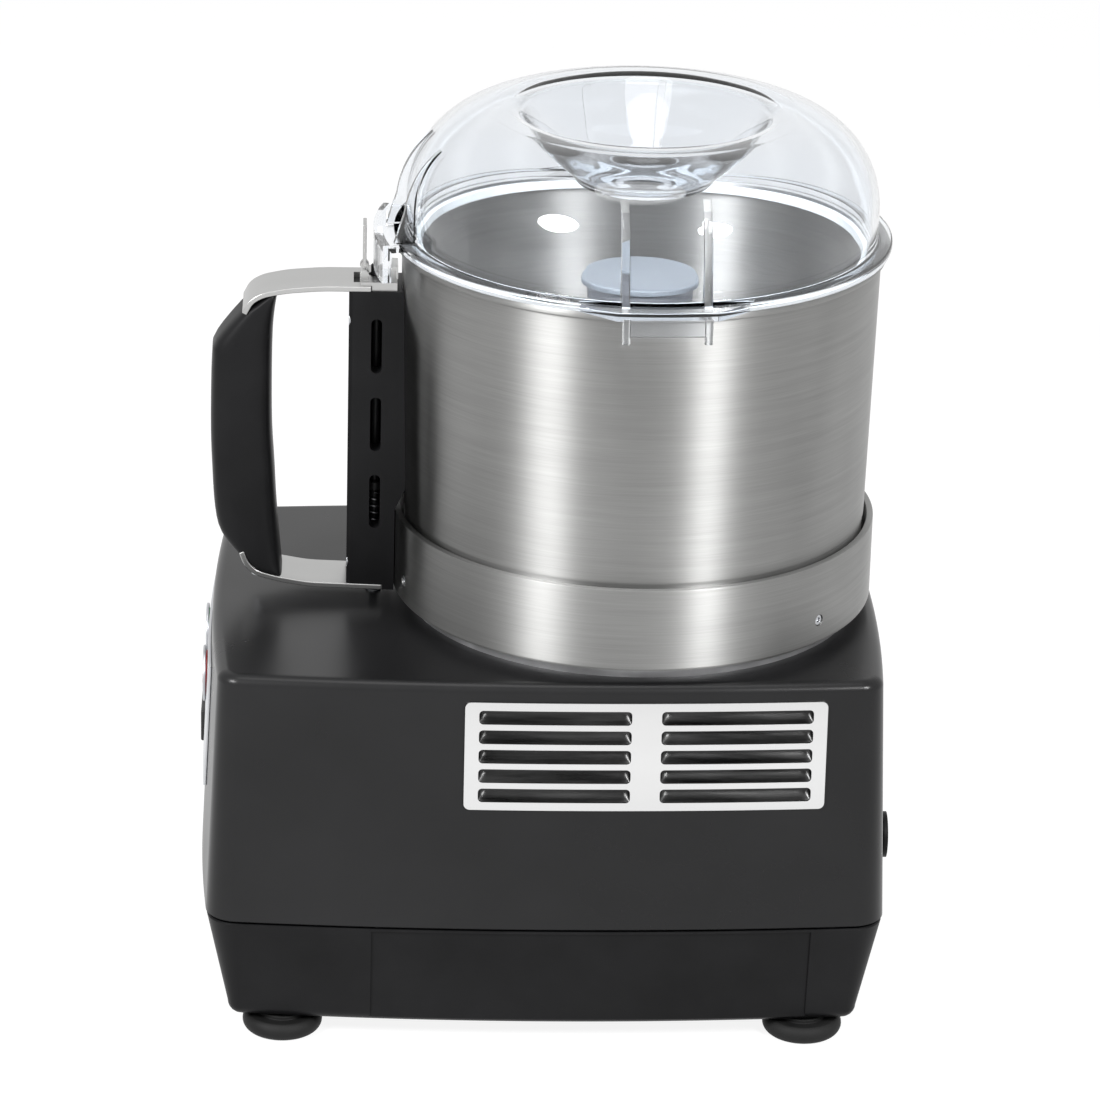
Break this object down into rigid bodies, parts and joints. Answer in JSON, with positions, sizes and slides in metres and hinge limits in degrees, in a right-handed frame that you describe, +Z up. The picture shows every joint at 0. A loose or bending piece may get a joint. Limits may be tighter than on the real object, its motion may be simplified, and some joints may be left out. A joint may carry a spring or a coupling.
{
  "type": "food processor",
  "caption": "Tabletop food processor: black motor base, stainless bowl with side handle, clear domed lid with filling funnel and a sweeping blade set.",
  "frame": {"origin": "on the table under the middle of the motor base", "axes": "+Z up, -Y towards the control panel and the bowl handle, +X towards the vented side"},
  "size_m": [0.2052, 0.2686, 0.351],
  "materials": {
    "black_paint": "satin",
    "black_plastic": "fine grain",
    "foot_rubber": "matte",
    "zinc_steel": "plated",
    "bright_steel": "bright",
    "brushed_steel": "brushed",
    "panel_steel": "satin",
    "green_plastic": "satin",
    "red_plastic": "satin",
    "board": "matte",
    "dark_plastic": "matte",
    "can_metal": "satin",
    "cast_metal": "as cast",
    "winding": "varnished",
    "lamination": "dull",
    "hub_plastic": "satin",
    "cap_plastic": "satin",
    "blade_steel": "ground",
    "clear_plastic": "clear polycarbonate",
    "seal_rubber": "translucent",
    "spring_steel": "drawn wire"
  },
  "bodies": {
    "base": {"housing": "black_paint", "lower_casing": "black_plastic", "feet": "foot_rubber", "foot_screws": "zinc_steel", "vent_grille": "bright_steel", "control_plate": "panel_steel", "switch_block": "dark_plastic", "control_board": "board", "capacitor": "can_metal", "cable_gland": "black_plastic", "microswitch": "dark_plastic", "motor_flange": "cast_metal", "flange_bolts": "zinc_steel", "bowl_ring": "brushed_steel", "ring_screws": "zinc_steel", "shaft_seal": "foot_rubber", "upper_bearing": "zinc_steel", "lower_bearing": "zinc_steel", "motor_stator": "winding", "motor_end_cap": "cast_metal", "motor_bolts": "zinc_steel"},
    "rotor": {"motor_shaft": "zinc_steel", "motor_rotor": "lamination", "cooling_fan": "dark_plastic"},
    "start_key": {"start_button": "green_plastic"},
    "stop_key": {"stop_button": "red_plastic"},
    "pulse_key": {"pulse_button": "dark_plastic"},
    "pin": {"interlock_pin": "zinc_steel"},
    "carrier": {"centre_tube": "brushed_steel"},
    "bowl_unit": {"bowl": "brushed_steel", "guide_channel": "black_plastic", "handle_strap": "brushed_steel", "handle_grip": "black_plastic", "grip_bolt": "zinc_steel", "channel_screws": "zinc_steel", "latch_foot": "bright_steel", "rod_guide": "zinc_steel", "rod_spring": "spring_steel"},
    "latch": {"lid_latch": "bright_steel"},
    "rod": {"push_rod": "dark_plastic"},
    "blade_unit": {"blade_hub": "hub_plastic", "lower_blade": "blade_steel", "upper_blade": "blade_steel", "hub_cap": "cap_plastic"},
    "seal": {"lid_seal": "seal_rubber"},
    "lid_unit": {"lid": "clear_plastic"}
  },
  "joints": [
    {"name": "motor_spin", "type": "hinge", "parent": "base", "child": "rotor", "pos_m": [0, 0.034, 0.1], "axis": [0, 0, 1], "continuous": true},
    {"name": "bowl_lift", "type": "slide", "parent": "base", "child": "carrier", "axis": [0, 0, 1], "range_m": [0, 0.15]},
    {"name": "bowl_turn", "type": "hinge", "parent": "carrier", "child": "bowl_unit", "pos_m": [0, 0.034, 0.172], "axis": [0, 0, 1], "range_deg": [0, 30]},
    {"name": "blade_spin", "type": "hinge", "parent": "carrier", "child": "blade_unit", "pos_m": [0, 0.034, 0.2], "axis": [0, 0, 1], "continuous": true},
    {"name": "lid_lift", "type": "slide", "parent": "bowl_unit", "child": "seal", "axis": [0, 0, 1], "range_m": [0, 0.12]},
    {"name": "lid_turn", "type": "hinge", "parent": "seal", "child": "lid_unit", "pos_m": [0, 0.034, 0.3], "axis": [0, 0, 1], "range_deg": [0, 20]},
    {"name": "rod_slide", "type": "slide", "parent": "bowl_unit", "child": "rod", "axis": [0, 0, 1], "range_m": [0, 0.0026], "deforming": ["rod_spring"]},
    {"name": "pin_slide", "type": "slide", "parent": "base", "child": "pin", "axis": [0, 0, 1], "range_m": [0, 0.0026]},
    {"name": "latch_flex", "type": "hinge", "parent": "bowl_unit", "child": "latch", "pos_m": [0, -0.0722, 0.2855], "axis": [1, 0, 0], "range_deg": [0, 12], "stiffness_Nm_per_rad": 0.05, "springref_deg": -11.46},
    {"name": "start_press", "type": "slide", "parent": "base", "child": "start_key", "axis": [0, 1, 0], "range_m": [0, 0.002], "stiffness_N_per_m": 700, "springref_m": -0.001},
    {"name": "stop_press", "type": "slide", "parent": "base", "child": "stop_key", "axis": [0, 1, 0], "range_m": [0, 0.002], "stiffness_N_per_m": 700, "springref_m": -0.001},
    {"name": "pulse_press", "type": "slide", "parent": "base", "child": "pulse_key", "axis": [0, 1, 0], "range_m": [0, 0.002], "stiffness_N_per_m": 700, "springref_m": -0.001}
  ],
  "couplings": [
    {"joint": "blade_spin", "follows": "motor_spin", "ratio": 1},
    {"joint": "rod_slide", "follows": "lid_turn", "m_per_rad": 0.00744},
    {"joint": "pin_slide", "follows": "lid_turn", "m_per_rad": 0.00744}
  ]
}
